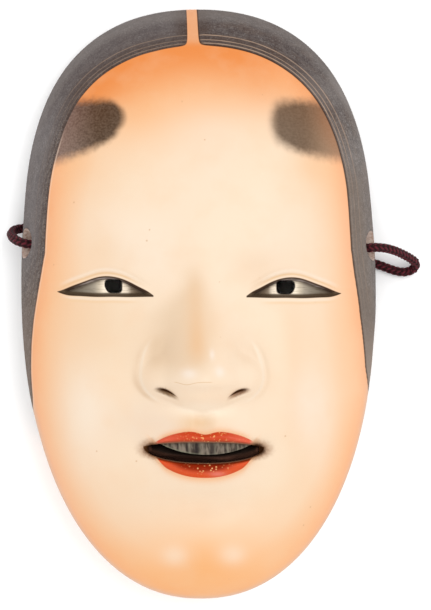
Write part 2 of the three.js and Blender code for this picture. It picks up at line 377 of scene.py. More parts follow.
def on_face(x, y):
    """The features' own coordinates: they stand a little askew in the outline."""
    return x + SKEW * (y - SKEW_Y), y + SKEW * x


def off_face(u, v):
    return u - SKEW * (v - SKEW_Y), v - SKEW * u


# Swells and hollows on both halves of the face: middle out and up, reach out and up, height
SWELLS = (
    (31, 9, 15, 10, -2.6),  # below the brow
    (EYE_X, 6, 14, 6.5, 2.8),  # eyeball
    (32, -28, 15, 19, 2.0),  # cheek
    (0, -50, 25, 14, 3.6),  # round the mouth
    (0, -69.5, 17, 5.5, -2.4),  # crease over the chin
    (0, -87, 17, 10, 3.2),  # chin
    (4.2, -41, 1.8, 4, 0.35),  # beside the groove over the lip
    (0, -41, 2.4, 4, -0.8),  # the groove
)


def broad_forms(u, v):
    return sum(height * spot(abs(u), v, *place) for *place, height in SWELLS)


def nose_height(u, v):
    side = abs(u)
    rise = v - NOSE_TIP_Y
    down = np.maximum((NOSE_TOP_Y - v) / (NOSE_TOP_Y - NOSE_TIP_Y), 0)
    brow_side = 0.02 * np.maximum(v - NOSE_TOP_Y, 0) ** 2
    bridge = NOSE_ROOT + (NOSE_TIP - NOSE_ROOT) * down**1.2 - brow_side
    underside = NOSE_TIP + 2.3 * (rise + 3)
    ridge = soft_min(bridge, underside, 4) - blend(0.035, 0.06, clamp01(down)) * u * u
    tip = NOSE_TIP - 1.5 - 6.5 * ((u / 12) ** 2 + (rise / 9) ** 2)
    wing = 61 - 8.6 * length_of((side - 13.4) / 10.4, rise / 9.8) ** 2.4
    return soft_max(soft_max(ridge, wing, 2.5), tip, 2)


def nostril_place(u, v):
    """Along a nostril, outward and up, and across its bent middle line."""
    slant = math.radians(NOSTRIL["slant"])
    out = abs(u) - NOSTRIL["out"]
    rise = v - NOSTRIL["up"]
    along = out * math.cos(slant) + rise * math.sin(slant)
    across = rise * math.cos(slant) - out * math.sin(slant) + 0.04 * along * along - 0.3
    return along, across


def nostril(u, v):
    """1 in the middle of a nostril, falling to 0 at its edge."""
    along, across = nostril_place(u, v)
    return falling(length_of(along / 4.2, across / 0.95), 1.2, 0.8)


def wing_edge(v):
    """Half the nose's width along the crease that bounds its wings."""
    above = larger(v - WING["up"], 0) / WING["over"]
    below = larger(WING["up"] - v, 0) / WING["under"]
    return WING["out"] * (1 - clamp01(above * above + below * below)) ** 0.5


# Lines of the eyes and the mouth, which the carving and the paint share


def lid_lines(u):
    along = clamp01((abs(u) - EYE_INNER) / EYE_LENGTH)
    chord = 2.1 + 1.8 * along
    upper = chord + 38.5 * along**1.2 * (1 - along) ** 1.4
    upper = upper + 0.7 * hump(along, 0.04, 0.09) - 0.45 * hump(along, 0.71, 0.13)
    lower = chord - 4.6 * along**1.3 * (1 - along) ** 0.7
    lower = lower - 0.35 * hump(along, 0.89, 0.1) + 0.2 * hump(along, 0.42, 0.13)
    return along, upper, lower


def lip_top(u):
    across = u - 0.6
    bow = 4.2 * (1 - clamp01(abs(across) / 17.6) ** 2.4) ** 0.9
    return LIP_TOP_Y + bow - 1.3 * bell(across / 3.4)


def gap_top(u):
    return GAP_TOP_Y - 1.8 * abs(u / GAP_END) ** 3


def from_teeth(u):
    """How far out along the row of teeth, 1 at its ends."""
    return abs(u - TEETH["middle"]) / (TEETH["wide"] / 2)


def teeth_edge(u):
    return TEETH["top"] - TEETH["deep"] * (1 - clamp01(from_teeth(u)) ** 2) ** 0.8


def gap_bottom(u):
    return CORNER_Y - 5.75 * (1 - clamp01(abs(u) / GAP_END) ** 2.2) ** 0.5


def lip_bottom(u):
    return LIP_BOTTOM_Y + 7.6 * abs(u / 19) ** 2.3


def eye_relief(u, v):
    along, upper, lower = lid_lines(u)
    ends = smooth(along / 0.15) * falling(along, 1, 0.15)
    lid = 0.7 * hump(v - upper, 0.4, 1.4) - 0.4 * hump(v - upper, 2.4, 0.9)
    inside = np.minimum(upper - 0.8 - v, v - lower - 0.4)
    return lid * ends - 1.4 * smooth(inside)


def lip_swell(v, low, high, end, swell):
    across = clamp01((v - low) / np.maximum(high - low, 0.3))
    return swell * smooth(end / 4) * np.sin(math.pi * across) ** 0.8


# Where one tooth meets the next across the mouth, and how wide and dark the gap is painted
TOOTH_GAPS = (
    (-12.0, 0.45, 0.35), (-9.1, 0.4, 0.4), (-5.9, 0.45, 0.4), (-2.5, 1.0, 0.85),
    (2.9, 0.8, 0.75), (7.7, 0.4, 0.3), (11.2, 0.45, 0.35), (14.2, 0.4, 0.35),
)


def tooth_grooves(u):
    return sum(hump(u, gap, 0.45) for gap, _, _ in TOOTH_GAPS)


def mouth_relief(u, v):
    half = abs(u)
    upper = lip_swell(v, gap_top(u), lip_top(u), 18.4 - half, 1.5)
    lower = lip_swell(v, lip_bottom(u), gap_bottom(u), 20.4 - half, 2.1)
    corner = -1.4 * spot(half, v, GAP_END, CORNER_Y, 3.6, 3)
    in_gap = np.minimum(gap_top(u) - v, v - gap_bottom(u))
    depth = 3 + 0.35 * tooth_grooves(u) - 2.2 * rising(half, 15.5, 3.5)
    return upper + lower + corner - depth * smooth(in_gap / 0.8)


def face_height(x, y, angle, share):
    u, v = on_face(x, y)
    plain = dome_height(angle, share, FRONT) + broad_forms(u, v)
    blend_width = 1.2 + 4.5 * rising(v, -20, 18)
    nose = soft_max(plain, nose_height(u, v), blend_width)
    beside_wing = abs(u) - wing_edge(v)
    crease = 0.2 * hump(beside_wing, -0.5, 0.8) - 0.35 * hump(beside_wing, 0.9, 1)
    crease = crease * falling(v, -12, 8) * rising(v, -35, 3)
    return nose + crease - 2 * nostril(u, v) + eye_relief(u, v) + mouth_relief(u, v)


def hollow_height(x, y, angle, share):
    nose_pocket = 8 * spot(x, y, 0, -20, 12, 15)
    mouth_pocket = 3 * spot(x, y, 0, -55, 22, 16)
    return dome_height(angle, share, FRONT - WALL) + nose_pocket + mouth_pocket


# The skin's rings run from the middle of the face over its edge and the rim into the hollow
EDGE, RIM_OUT, RIM_IN, INNER_EDGE, LAST_RING = 104, 116, 120, 130, 170
COLUMNS = 256


def skin(ring, angle):
    """Where each place on the skin lies, for arrays of rings and angles."""
    up, down = up_and_down(angle)
    reach = outline_radius(angle) - RIM_WIDTH * clamp01((ring - RIM_OUT) / (RIM_IN - RIM_OUT))
    tuck = 1.4 + 6 * down + 0.4 * up
    outer_drop = clamp01((ring - EDGE) / (RIM_OUT - EDGE))
    inner_drop = clamp01((INNER_EDGE - ring) / (INNER_EDGE - RIM_IN))
    drop = np.minimum(outer_drop, inner_drop)
    inner_share = clamp01((LAST_RING - ring) / (LAST_RING - INNER_EDGE))
    share = np.sin(math.pi / 2 * np.minimum(clamp01(ring / EDGE), inner_share))
    radius = reach * share - tuck * drop * drop
    x = radius * np.cos(angle)
    y = WIDEST_Y + radius * np.sin(angle)
    wall = blend(edge_height(angle), rim_height(y), drop)
    front = np.where(
        ring < RIM_OUT, face_height(x, y, angle, share), hollow_height(x, y, angle, share)
    )
    return np.stack([x, y, np.where(drop > 0, wall, front)], axis=-1)


# The hairline, by degrees above the horizontal: the outline's share on the left and the right
HAIRLINE = (
    (-36, 1.0, 1.0), (-34, 0.99, 1.0), (-32, 0.982, 0.999), (-26, 0.970, 0.955),
    (-18, 0.950, 0.926), (-10, 0.927, 0.896), (-2, 0.902, 0.877), (6, 0.879, 0.859),
    (14, 0.860, 0.848), (22, 0.862, 0.850), (34, 0.862, 0.856), (46, 0.861, 0.858),
    (58, 0.864, 0.858), (70, 0.856, 0.855), (80, 0.851, 0.854), (90, 0.8545, 0.8545),
)
# Where it leaves the face for the side wall, and where it reaches the rim, left and right
LEAVES_FACE = (-36.0, -34.0)
MEETS_RIM = (-45.0, -43.0)


def share_at(ring):
    """How far out towards the outline a ring on the front lies."""
    return np.sin(math.pi / 2 * clamp01(ring / EDGE))


def degrees_up(angle):
    return np.degrees(np.arcsin(np.sin(angle)))


def hairline_share(angle):
    degrees, left, right = np.array(HAIRLINE).T
    rise = degrees_up(angle)
    on_left = np.interp(rise, degrees, left)
    on_right = np.interp(rise, degrees, right)
    return np.where(np.cos(angle) < 0, on_left, on_right)


def in_hair(ring, angle):
    left = np.cos(angle) < 0
    top = np.where(left, *LEAVES_FACE)
    bottom = np.where(left, *MEETS_RIM)
    line = blend(top, bottom, clamp01((ring - EDGE) / (RIM_OUT - EDGE)))
    on_front = share_at(ring) > hairline_share(angle)
    return np.where(ring < EDGE, on_front, degrees_up(angle) > line)


def hairline_points():
    """Points close together along the hairline, down both walls to the rim."""
    paths = []
    for side, leaves, meets in zip((0, 1), LEAVES_FACE, MEETS_RIM):
        rise = np.radians(np.linspace(90, leaves, 2400))
        angle = rise if side else math.pi - rise
        ring = EDGE * np.arcsin(np.minimum(hairline_share(angle), 1)) * 2 / math.pi
        paths.append(skin(ring, angle))
        share = np.linspace(0, 1, 200)
        rise = np.radians(blend(leaves, meets, share))
        angle = rise if side else math.pi - rise
        paths.append(skin(EDGE + (RIM_OUT - EDGE) * share, angle))
    return np.concatenate(paths)


# Distances are taken mostly in plan, as the painter's lines look from the front
PLAN = np.array([1, 1, 0.3])


def hairline_distance(points, ring, angle):
    """How far each point is from the hairline, positive in the hair."""
    line = hairline_points() * PLAN
    tree = KDTree(len(line))
    for index, point in enumerate(line):
        tree.insert(point, index)
    tree.balance()
    distance = np.array([tree.find(point)[2] for point in points * PLAN])
    return np.where(in_hair(ring, angle), distance, -distance)


# Building the mask


def places(net):
    """Ring and angle of each corner of a net that is still a ball."""
    ball = np.array([vert.co for vert in net.verts])
    ball /= np.linalg.norm(ball, axis=1, keepdims=True)
    ring = np.arccos(np.clip(ball[:, 2], -1, 1)) / math.pi * LAST_RING
    return ring, np.arctan2(ball[:, 1], ball[:, 0])


def halve(net, wanted):
    """Halves the net's edges where a function of the features' coordinates asks for it."""
    ring, angle = places(net)
    x, y, _ = skin(ring, angle).T
    chosen = wanted(*on_face(x, y)) & (ring < EDGE)
    net.verts.index_update()
    edges = [edge for edge in net.edges if all(chosen[vert.index] for vert in edge.verts)]
    bmesh.ops.subdivide_edges(net, edges=edges, cuts=1, use_grid_fill=True)


def across_eye(u, margin):
    return abs(abs(u) - EYE_X) < EYE_LENGTH / 2 + margin


def near_eyes(u, v):
    _, upper, lower = lid_lines(u)
    return across_eye(u, 2) & (v < upper + 4) & (v > lower - 2.5)


def near_lids(u, v):
    _, upper, lower = lid_lines(u)
    return across_eye(u, 1) & ((abs(v - upper) < 1.9) | (abs(v - lower) < 1.2))


def near_nose(u, v):
    return (abs(u) < 25) & (v < -12) & (v > -40)


def near_mouth(u, v):
    return (abs(u) < 25) & (v < lip_top(u) + 3) & (v > lip_bottom(u) - 3)


def near_lips(u, v):
    return (abs(u) < 23.5) & (v < lip_top(u) + 1.2) & (v > np.minimum(lip_bottom(u), -52) - 1.2)


def mesh_object(name, net, materials):
    mesh = bpy.data.meshes.new(name)
    net.to_mesh(mesh)
    net.free()
    piece = bpy.data.objects.new(name, mesh)
    bpy.context.collection.objects.link(piece)
    for material in materials:
        mesh.materials.append(material)
    mesh.shade_smooth()
    return piece


def prism(net, outline, levels, moved):
    """A closed prism along z through a closed outline, whose levels a function moves."""
    face = net.faces.new([net.verts.new((x, y, 0)) for x, y in outline])
    face.normal_update()
    if face.normal.z > 0:
        face.normal_flip()
    rows = [list(face.verts)]
    for _ in levels[1:]:
        rest = bmesh.ops.extrude_face_region(net, geom=[face])["geom"]
        rows.append([item for item in rest if isinstance(item, bmesh.types.BMVert)])
        faces = [item for item in rest if isinstance(item, bmesh.types.BMFace)]
        face = next(item for item in faces if set(item.verts) <= set(rows[-1]))
    for row, z in zip(rows, levels):
        for vert in row:
            vert.co = Vector((*moved(vert.co.x, vert.co.y, z), z))


# Heights between which the front is cut, and where the pupils and the lower lip begin to slope
PUPIL_CUT = (30, 66)
PUPIL_FRONT = 52
PUPIL_FLARE = 0.03
LIP_BACK, LIP_FRONT = 47.5, 53.5
GAP_CUT = (30, LIP_BACK, LIP_FRONT, 75)
# How deep the cord holes are cut, and how far in from the widest place the cut's middle lies
HOLE_CUT = {"deep": 24, "in": 4, "sides": 56}


def pupil_outline(side):
    """Squarish, straight towards the nose and drawn in at the outer lower corner."""
    turns = np.linspace(0, 2 * math.pi, 40, endpoint=False)
    squared = [np.sign(wave) * abs(wave) ** 0.55 for wave in (np.cos(turns), np.sin(turns))]
    out = squared[0] * PUPIL["wide"] / 2
    rise = squared[1] * PUPIL["tall"] / 2
    drawn_in = np.where(out > 0, 0.34, 0.12) * np.maximum(-rise, 0) / 2.4
    out = out * (1 - drawn_in)
    x, y = off_face(side * PUPIL["out"], PUPIL["up"])
    return list(zip(x + side * out, y + rise))


def widened(x, y, z):
    """A pupil opens towards the wearer's eye."""
    side = math.copysign(1, x)
    middle_x, middle_y = off_face(side * PUPIL["out"], PUPIL["up"])
    scale = 1 + PUPIL_FLARE * (PUPIL_FRONT - z)
    return middle_x + (x - middle_x) * scale, middle_y + (y - middle_y) * scale


def gap_upper(u):
    """The upper edge of the cut: the teeth, and the lip beyond them."""
    edge = np.where(from_teeth(u) < 1, teeth_edge(u), gap_top(u))
    return np.minimum(edge, gap_top(u) - 0.15)


def mouth_outline():
    across = np.linspace(-CUT_END, CUT_END, 97)
    top, bottom = gap_upper(across), gap_bottom(across) + 0.1
    edge = np.concatenate([np.stack([across, bottom], 1), np.stack([across, top], 1)[::-1]])
    return list(zip(*off_face(*edge.T)))


def narrowed(x, y, z):
    """The lower lip slopes up into the mouth."""
    u, v = on_face(x, y)
    closed = 0.62 + 0.34 * rising(abs(u), 13, 5)
    deep = clamp01((LIP_FRONT - z) / (LIP_FRONT - LIP_BACK))
    return off_face(u, blend(v, gap_upper(u), closed * deep))


def front_cutter(dark):
    """What is cut through the front: two pupils and the gap below the teeth."""
    net = bmesh.new()
    for side in (-1, 1):
        prism(net, pupil_outline(side), PUPIL_CUT, widened)
    prism(net, mouth_outline(), GAP_CUT, narrowed)
    bmesh.ops.recalc_face_normals(net, faces=net.faces)
    return mesh_object("front cutter", net, [dark])


def side_cutter(bare):
    """What is cut through the side walls: the oval cord holes."""
    net = bmesh.new()
    wide, tall = CORD_HOLE["wide"], CORD_HOLE["tall"]
    for side in (-1, 1):
        hole = bmesh.ops.create_cone(
            net,
            cap_ends=True,
            segments=HOLE_CUT["sides"],
            radius1=wide / 2,
            radius2=wide / 2,
            depth=HOLE_CUT["deep"],
            matrix=Matrix.Rotation(math.pi / 2, 4, "Y"),
        )["verts"]
        bmesh.ops.scale(net, vec=(1, 1, tall / wide), verts=hole)
        x = side * (WIDTH / 2 - HOLE_CUT["in"])
        y = CORD_HOLE["y"] - side * WIDTH / 2 * SKEW
        bmesh.ops.translate(net, vec=(x, y, CORD_HOLE["z"]), verts=hole)
    return mesh_object("side cutter", net, [bare])


def cut(piece, cutter):
    """Cuts one mesh out of another for good; the cut faces keep the cutter's material."""
    boolean = piece.modifiers.new("cut", "BOOLEAN")
    boolean.operation = "DIFFERENCE"
    boolean.solver = "EXACT"
    boolean.material_mode = "TRANSFER"
    boolean.object = cutter
    shape = piece.evaluated_get(bpy.context.evaluated_depsgraph_get())
    mesh = bpy.data.meshes.new_from_object(shape)
    piece.modifiers.clear()
    piece.data = mesh
    bpy.data.objects.remove(cutter)


def set_attribute(mesh, name, values):
    attribute = mesh.attributes.new(name, "FLOAT", "POINT")
    attribute.data.foreach_set("value", np.asarray(values, dtype=np.float32))


def mend_attributes(mesh, names):
    """Gives corners that a cut made the values of their nearest old neighbour."""
    values = {name: np.zeros(len(mesh.vertices), np.float32) for name in names}
    for name in names:
        mesh.attributes[name].data.foreach_get("value", values[name])
    made = np.flatnonzero(values["kept"] < 0.5)
    old = np.flatnonzero(values["kept"] >= 0.5)
    tree = KDTree(len(old))
    for index in old:
        tree.insert(mesh.vertices[index].co, index)
    tree.balance()
    nearest = [tree.find(mesh.vertices[index].co)[1] for index in made]
    for name in names:
        values[name][made] = values[name][nearest]
        mesh.attributes[name].data.foreach_set("value", values[name])


HAIR_STEP = 0.35
PARTING = {"middle": 0.2, "half": 1.8}


def hair_cover(hairline, u):
    """Distance into the hair, from the hairline and the parting's two edges."""
    beside_parting = abs(u - PARTING["middle"]) - PARTING["half"]
    return soft_min(hairline, beside_parting, 1.6)


def make_mask(finishes):
    painted, lacquered, dark, bare = [finish.material for finish in finishes]
    net = bmesh.new()
    bmesh.ops.create_uvsphere(net, u_segments=COLUMNS, v_segments=LAST_RING, radius=1)
    for wanted in (near_eyes, near_nose, near_mouth, near_lips, near_lids):
        halve(net, wanted)
    net.verts.index_update()
    ring, angle = places(net)
    points = skin(ring, angle)
    for vert, point in zip(net.verts, points):
        vert.co = point
    for face in net.faces:
        rings = [ring[vert.index] for vert in face.verts]
        face.material_index = int(sum(rings) / len(rings) > RIM_OUT)
    hairline = hairline_distance(points, ring, angle)
    to_edge = outline_radius(angle) * (1 - share_at(ring))
    u, _ = on_face(points[:, 0], points[:, 1])
    step = HAIR_STEP * smooth(hair_cover(hairline, u) / 0.7) * falling(ring, EDGE - 2, 14)
    net.normal_update()
    for vert, rise in zip(net.verts, step):
        vert.co += vert.normal * rise
    piece = mesh_object("painted_mask", net, [painted, lacquered])
    set_attribute(piece.data, "hairline", hairline)
    set_attribute(piece.data, "border", np.minimum(np.maximum(-hairline, 0), to_edge))
    set_attribute(piece.data, "to_edge", to_edge)
    set_attribute(piece.data, "kept", np.ones(len(ring)))
    cut(piece, front_cutter(dark))
    cut(piece, side_cutter(bare))
    mend_attributes(piece.data, ["hairline", "border", "to_edge", "kept"])
    return piece


# Finishes

def dabbed(colour, u, v, dabs):
    """A colour with soft dabs over it, each a spot's place and reach, its tone and weight."""
    for *place, tint, weight in dabs:
        colour = colour.coat(tint, spot(u, v, *place) * weight)
    return colour


# The ground's tones by distance from the hairline or the edge
GROUND_TONES = (
    (0, (251, 179, 128)), (2, (253, 184, 133)), (4, (254, 191, 141)), (7, (253, 200, 154)),
    (15, (251, 217, 182)), (30, (251, 225, 195)), (45, (252, 228, 201)),
)
# Dabs on the ground, on the chin and on the nose: middle, reach across and up, tone, weight
GROUND_DABS = (
    (-20, 68, 22, 14, (252, 180, 112), 0.5),
    (8, 74, 30, 12, (253, 186, 122), 0.35),
    (38, 18, 15, 26, (255, 234, 212), 0.5),
    (31, 55, 12, 18, (255, 232, 206), 0.45),
    (-29, 22, 14, 14, (254, 236, 216), 0.5),
    (-43, 49, 9, 8, (251, 196, 146), 0.45),
    (-46, -6, 8, 16, (249, 204, 160), 0.35),
    (-41, -44, 11, 22, (253, 231, 208), 0.55),
    (32.5, -26, 4.5, 30, (246, 208, 170), 0.4),
    (41, -40, 5, 20, (254, 226, 200), 0.45),
    (41, 49, 8, 8, (251, 196, 146), 0.45),
    (-17, 19, 9, 10, (255, 238, 218), 0.5),
    (5, 62, 16, 12, (255, 230, 208), 0.45),
    (26, 26, 9, 16, (255, 234, 212), 0.4),
    # Two dabs of painted shade, beside the left side of the nose and below its wing
    (-19, -15, 12, 15, (236, 206, 172), 0.35),
    (-19, -42, 13, 8, (236, 214, 194), 0.5),
    (-22, -70, 15, 13, (240, 212, 184), 0.3),
    (-17, -89, 6, 5, (255, 226, 194), 0.4),
    (3, -97, 9, 3, (255, 206, 168), 0.4),
    (0, 76, 34, 11, (253, 176, 106), 0.36),
    (53, -22, 7, 18, (255, 214, 178), 0.35),
    (-34, 18, 8, 8, (246, 208, 168), 0.4),
    (-36, -9, 9, 12, (240, 206, 168), 0.35),
    (-41, -37, 6, 12, (254, 240, 222), 0.45),
    (37, -36, 7, 13, (255, 240, 226), 0.4),
    (20, 12, 9, 6, (240, 208, 176), 0.45),
    (4, -8, 3.5, 10, (238, 200, 160), 0.35),
    (-1, -93, 5, 9, (250, 192, 132), 0.35),
    (18, -92, 14, 8, (254, 220, 186), 0.4),
)
CHIN_DABS = (
    (0, -95, 34, 15, (255, 184, 118), 0.8),
    # Two painted highlights on the swell of the chin
    (-11.1, -89, 4.6, 3.8, (255, 230, 204), 0.65),
    (9.4, -88.4, 4.6, 3.8, (255, 230, 204), 0.65),
)
NOSE_DABS = (
    # Painted light on the base and underside of the nose, where it lies in shade
    (0, -33, 9, 3, (270, 240, 204), 0.35),
    (0, -37.5, 11, 3, (268, 252, 228), 0.85),
    (-2.2, -42, 6, 2.8, (244, 204, 158), 0.75),
    # Three painted highlights on the tip of the nose
    (3.6, -17.9, 0.9, 1.7, (255, 244, 234), 0.5),
    (6.1, -23.9, 1.7, 1.9, (255, 244, 234), 0.5),
    (-4.7, -24.6, 2.6, 1.8, (255, 244, 234), 0.5),
)


def ground(finish, u, v):
    """Cream ground that deepens to peach at the border and to orange under the hair."""
    border = finish.attribute("border")
    colour = dabbed(finish.ramp(border, GROUND_TONES), u, v, GROUND_DABS)
    brow_glow = bell(border / 14) * rising(v, 50, 26) * (1 - 0.6 * hump(u, 34, 9))
    colour = colour.coat((241, 146, 76), brow_glow)
    colour = dabbed(colour, u, v, CHIN_DABS)
    # Painted shade in a thin band along the lower part of the outline, where the face turns away
    turned_away_shade = bell(finish.attribute("to_edge") / 1.3) * falling(v, 10, 20)
    colour = colour.coat((226, 188, 164), turned_away_shade * 0.8)
    parting = rising(v, 91, 4)
    colour = colour.coat((238, 168, 118), parting)
    clouds = finish.noise(0.09, 3)
    colour = colour.coat((250, 208, 168), (clouds - 0.45) * 0.7)
    speckled = rising(finish.noise(0.21, 0), 0.56, 0.05)
    specks = falling(finish.cells(0.16), 0.07, 0.03) * speckled
    return colour.coat((206, 160, 120), specks * 0.5)


def paint_nose(finish, colour, u, v):
    # Painted shade down the left flank of the nose, which is turned from the light, with a
    # warmer core beside the ridge
    high = rising(v, -6, 14)
    low = falling(v, -8, 7)
    start = 22 - 13 * high - low
    reach = 13 - 5 * high - 8 * low
    left_flank_shade = falling(u, 6.5, 9) * smooth((u + start) / reach)
    left_flank_shade = left_flank_shade * falling(v, 17, 13) * rising(v, -29, 10)
    colour = colour.coat((229, 198, 163), left_flank_shade * 0.55)
    warm = hump(u, -1.6, 3.6) * falling(v, 17, 16) * rising(v, -25, 10)
    colour = colour.coat((240, 190, 140), warm * (0.35 + 0.25 * hump(v, -14, 8)))
    colour = dabbed(colour, u, v, NOSE_DABS)
    crack = v + 27.5 + 0.9 * hump(u, -5.6, 2.8)
    crack = stroke(crack, 0.4) * between(u, -9.8, 3.2, 1.5)
    colour = colour.coat((224, 184, 140), crack * 0.6)
    # Painted shade outside the crease round the nose's wings, stronger on the left, and a
    # painted highlight along the crease
    beside = abs(u) - wing_edge(v)
    along = falling(v, -11, 8) * rising(v, -36, 4)
    on_left = smooth(0.5 - u)
    depth = 0.04 + (0.2 + 0.5 * falling(v, -22, 8)) * on_left
    colour = colour.coat((222, 192, 160), hump(beside, 1.9, 1.3) * along * depth)
    colour = colour.coat((255, 242, 224), bell(beside / 0.6) * along * 0.35)
    along, across = nostril_place(u, v)
    rim = falling(length_of(along / 4.3, (across + 0.2) / 1.2), 1.25, 0.9)
    rim_tone = finish.over((176, 126, 90), (152, 112, 70), on_left)
    colour = colour.coat(rim_tone, rim * 0.85)
    from_core = length_of(along / 4.1, (across - 0.25) / (0.6 + 0.1 * along))
    core = falling(from_core, 1.2, 0.8)
    return colour.coat((66, 38, 22), core * (0.7 + 0.3 * rising(across, -0.4, 0.8)))


# The eyeball's tones by distance out from the pupil's middle
EYEBALL_TONES = (
    (-14, (86, 68, 54)), (-9, (106, 88, 72)), (-7.5, (124, 106, 88)), (-6.2, (160, 142, 122)),
    (-4.8, (250, 232, 208)), (-3.2, (268, 250, 226)), (3.4, (266, 250, 226)),
    (5, (222, 206, 182)), (6.5, (184, 171, 153)), (8.5, (158, 147, 131)),
    (12, (136, 125, 110)), (17, (102, 87, 73)),
)


def eyeball_paint(finish, u, v, below_lid, above_lower):
    """Light beside the pupil, greyer and streaked outwards; dark under the lid, with painted
    shade and a painted highlight.
    """
    out = abs(u)
    from_pupil = out - PUPIL["out"]
    streaks = finish.strokes(u, v, 0.22, 2.2)
    near_pupil = bell(from_pupil / 4.6)
    ball = finish.ramp(from_pupil, EYEBALL_TONES)
    ball = ball.coat((84, 70, 56), rising(streaks, 0.5, 0.2) * (0.6 - 0.4 * near_pupil))
    # Painted shade under the upper lid
    ball = ball.coat((104, 90, 78), falling(below_lid, 2.6, 1.4) * (0.7 - 0.7 * near_pupil))
    ball = ball.coat((66, 52, 44), falling(below_lid, 1.5, 0.5))
    # A painted highlight along the lid's dark band
    lid_highlight = hump(below_lid, 0.85, 0.34) * between(out, 27, 42, 7)
    ball = ball.coat((160, 146, 138), lid_highlight * (0.45 + rising(streaks, 0.4, 0.3)))
    ball = ball.coat((92, 64, 42), falling(below_lid, 0.45, 0.35) * 0.8)
    ball = ball.coat((94, 78, 62), falling(above_lower, 1.8, 0.7) * 0.95)
    ball = ball.coat((66, 50, 38), falling(above_lower, 0.9, 0.5) * 0.7)
    up = v - PUPIL["up"]
    drawn_in = 1 - 0.3 * clamp01(up * -0.42) * smooth(from_pupil)
    across = from_pupil / (3.15 + 0.25 * smooth(u)) / drawn_in
    tall = up / 2.5
    from_hole = length_of(across * across, tall * tall)
    return ball.coat((26, 11, 7), falling(from_hole, 1.15, 0.3))


def paint_eyes(finish, colour, u, v):
    along, upper, lower = lid_lines(u)
    below_lid = upper - v
    above_lower = v - lower
    middle = between(along, 0.2, 0.92, 0.2)
    # Painted shade in the crease over the upper lid, and painted highlights along the fold above
    # it and below the lower lid
    crease = hump(below_lid, -1.1, 0.4) * middle
    colour = colour.coat((238, 196, 146), crease * 0.7)
    ridge = hump(below_lid, -2.3, 0.7) * middle + hump(above_lower, -0.7, 0.5) * middle
    colour = colour.coat((255, 238, 218), ridge * 0.5)
    colour = colour.coat((246, 208, 164), hump(above_lower, -1.7, 0.5) * middle * 0.5)
    cover = past(below_lid) * past(above_lower)
    cover = cover * between(abs(u), EYE_INNER, EYE_INNER + EYE_LENGTH, 0.4)
    return colour.coat(eyeball_paint(finish, u, v, below_lid, above_lower), cover)


def brow_cover(finish, u, v, right):
    """How far a brow's smudge covers: ragged, and softer at the right one's inner end."""
    out = abs(u)
    inner = out - 23.6 - 2.6 * right
    cap = 2 + 2 * right
    along = larger(inner, cap)
    middle = BROW_Y + 0.6 * right
    top = middle + (6.3 - 0.3 * right) * (1 - (1 - clamp01(along / (9 - 3 * right))) ** 2) ** 0.5
    right_depth = 7 * along**0.265 - 0.08 * larger(along - 9, 0)
    bottom = middle - blend(3.4 * along**0.5 - 0.05 * along, right_depth, right)
    half = (top - bottom) / 2
    reach = length_of(larger(cap - inner, 0) / (1.8 + 2.8 * right), (v - bottom - half) / half)
    ragged = (finish.noise(0.5, 3) - 0.5) * 1.4
    inside = (1 - reach) * smaller(half, 6.5) + ragged
    soft = right * (1 - rising(out, 28, 8))
    cover = smooth((inside + 1.65 + 0.55 * soft) / (3.5 + 2.3 * soft))
    from_middle = v - BROW_Y + 1.2 * right
    rounded = smaller(from_middle * from_middle, 25) * (0.1 - 0.07 * right)
    return cover * smooth((out - 22.6 - 0.6 * right - rounded) / (4.6 + 2.2 * right))


def paint_brows(finish, colour, u, v):
    out = abs(u)
    right = smooth(u)
    combed = finish.strokes(u, v, 0.5, 1.6)
    mottled = smooth((finish.noise(1.3, 4) + 0.5 * combed - 0.55) / 0.4)
    core = finish.over((66, 52, 43), (100, 83, 71), mottled * 0.85)
    core = core.coat((124, 101, 82), right * (0.22 + 0.35 * combed))
    faded = finish.over((98, 90, 91), (128, 115, 112), mottled)
    faded = faded.coat((116, 96, 76), right * 0.7)
    outward = rising(out, 33 + 4 * right, 16 - 2 * right)
    pigment = core.coat(faded, outward)
    weight = 0.95 - (0.08 + 0.12 * right) * outward - 0.04 * right
    cover = brow_cover(finish, u, v, right) * weight * rising(out, 20, 3)
    return colour.coat(pigment, cover)


def paint_round_lips(colour, u, v, above, below):
    """A faint warm edge round both lips."""
    half = abs(u)
    glow = bell(larger(above, 0) / 1.5) * falling(half, 19, 6) * rising(above, -6, 1)
    glow_below = bell(larger(below, 0) / 1.8) * falling(half, 21, 5) * rising(below, -6, 1)
    near = rising(v, -66, 2) * falling(v, -41, 2)
    return colour.coat((250, 190, 138), larger(glow, glow_below) * near * 0.75)


def lip_paints(finish, u, v, from_top, from_bottom):
    """The reds of the upper and the lower lip, each with a dark edge and flecks of gold, and a
    painted highlight on the lower lip.
    """
    grain = smooth((finish.strokes(u, v, 0.5, 1.2) - 0.5) * 2.5)
    upper = finish.over((214, 74, 38), (232, 98, 70), rising(abs(u), 6, 8))
    upper = upper.coat((240, 124, 96), grain * 0.5)
    upper = upper.coat((158, 100, 78), falling(v - gap_top(u), 0.9, 0.8) * 0.6)
    deep = rising(from_bottom, 1.2, 2.2) * falling(abs(u + 1), 15, 9)
    lower = finish.over((228, 88, 44), (148, 45, 20), deep)
    # A painted highlight on the lower lip
    lower = lower.coat((242, 134, 118), spot(u, v, 4.6, -59.9, 2.8, 0.9) * 0.8)
    lower = lower.coat((212, 72, 40), grain * 0.4)
    dark_edge = smooth((0.9 + 0.2 * smooth(u / 6) - from_top) / 0.8)
    lower = lower.coat((92, 42, 30), dark_edge * 0.85)
    flecks = falling(finish.cells(0.95), 0.36, 0.14) * rising(finish.noise(0.5, 0), 0.36, 0.1)
    upper = upper.coat((250, 186, 116), flecks * hump(u, 1.5, 8) * rising(v, -49, 0.5) * 0.9)
    lower = lower.coat((252, 190, 124), flecks * spot(u, v, 1.6, -57.6, 6.6, 1.7))
    return upper, lower


